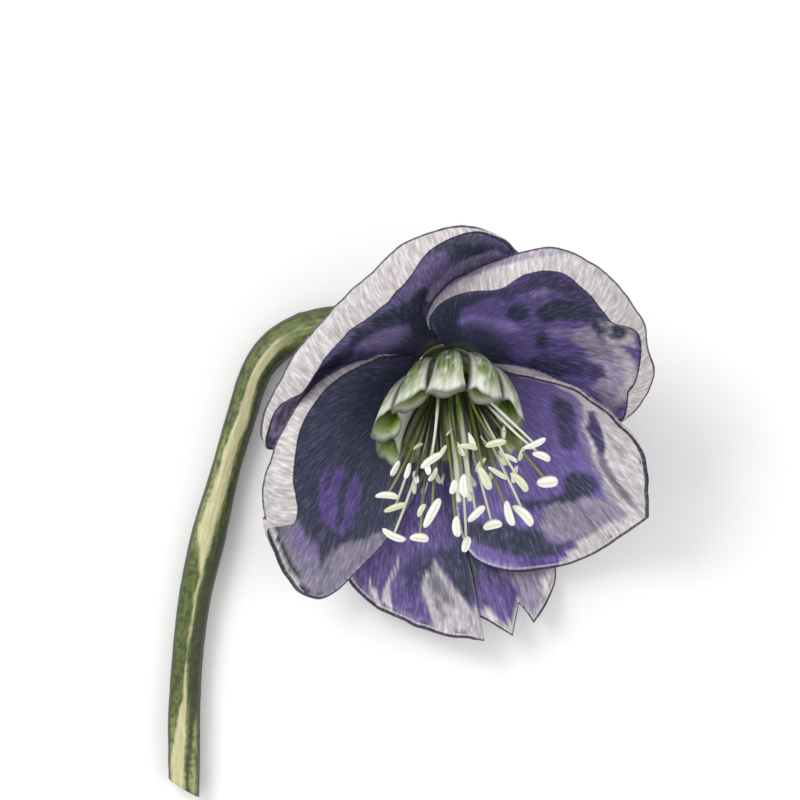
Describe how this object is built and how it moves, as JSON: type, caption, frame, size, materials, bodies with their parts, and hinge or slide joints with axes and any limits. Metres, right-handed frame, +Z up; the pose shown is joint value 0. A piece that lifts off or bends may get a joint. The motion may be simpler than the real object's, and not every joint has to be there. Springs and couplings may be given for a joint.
{
  "type": "hellebore flower",
  "caption": "Single cut hellebore bloom with cupped purple sepals, green nectaries, cream stamens and a curved stem, lying on its side.",
  "frame": {"origin": "the surface that the flower lies on, under the middle of its bounding box", "axes": "+Z up from the surface, +Y from the cut end of the stem towards the bloom, +X to the right as the flower is looked down on"},
  "size_m": [0.0808, 0.095, 0.0421],
  "materials": {
    "stem": "satin living stem, olive with a cream green band",
    "sepal": "soft satin sepal, navy and purple inside, pale lilac white outside and at the margin",
    "nectary": "waxy pale green with whitish lips",
    "stamen": "green white filaments and matt cream anthers",
    "carpel": "pale green pods with whitish styles"
  },
  "bodies": {
    "root": {"stem": "stem", "sepal_back": "sepal", "sepal_upper": "sepal", "sepal_right": "sepal", "sepal_lower": "sepal", "sepal_left": "sepal", "nectaries": "nectary", "stamens": "stamen", "carpels": "carpel"}
  },
  "joints": []
}
